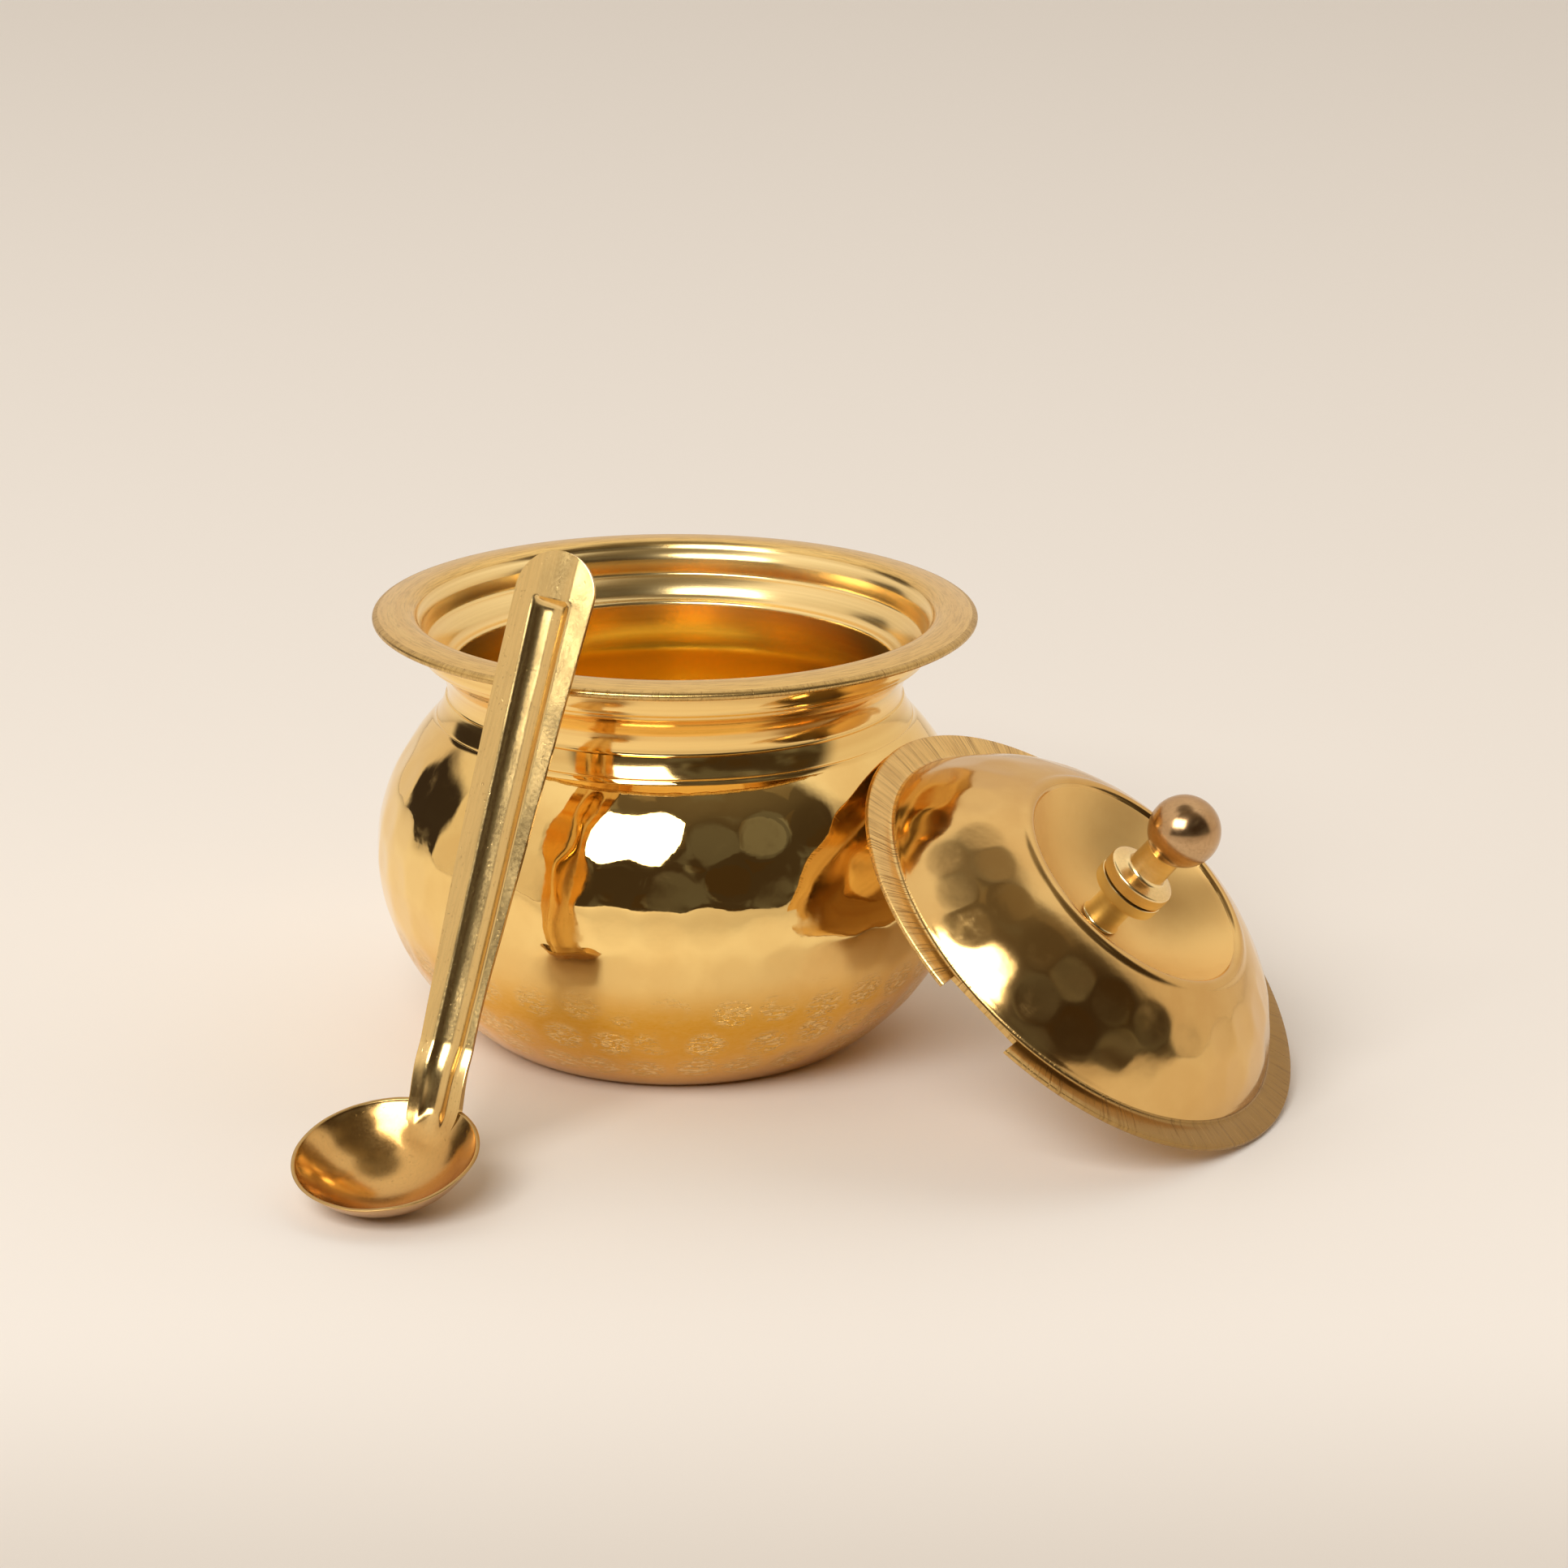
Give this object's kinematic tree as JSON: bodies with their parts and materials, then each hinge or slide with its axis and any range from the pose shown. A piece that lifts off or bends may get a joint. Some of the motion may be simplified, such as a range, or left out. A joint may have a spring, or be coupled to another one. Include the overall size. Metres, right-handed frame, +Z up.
{
  "type": "ghee pot",
  "caption": "Round-bellied hammered brass pot for clarified butter, shown open: wide lip, loose domed lid with a turned knob leaning on the shoulder, and a spoon leaning on the rim",
  "frame": {"origin": "centre of the pot's flat base, on the plane that the pot, the lid and the spoon all stand on", "axes": "+Z up along the pot's axis, -Y towards the viewer of the picture, +X towards the side where the lid leans"},
  "size_m": [0.1439, 0.1291, 0.084],
  "materials": {
    "hammered_brass": "hammered and polished, spun lines at the neck, satin lip",
    "lid_brass": "hammered dome, polished dish, scratched flange",
    "knob_brass": "turned and polished",
    "knob_red_brass": "turned and polished, slightly redder",
    "spoon_brass": "pressed, lightly pitted satin"
  },
  "bodies": {
    "pot": {"pot_body": "hammered_brass"},
    "lid": {"lid_shell": "lid_brass", "knob_stem": "knob_brass", "knob_ball": "knob_red_brass"},
    "spoon": {"spoon": "spoon_brass"}
  },
  "joints": [
    {"name": "lid_lift", "type": "slide", "parent": "pot", "child": "lid", "axis": [0.5611, -0.2996, 0.7716], "range_m": [0, 0.08]},
    {"name": "spoon_lift", "type": "slide", "parent": "pot", "child": "spoon", "axis": [0, 0, 1], "range_m": [0, 0.09]}
  ]
}
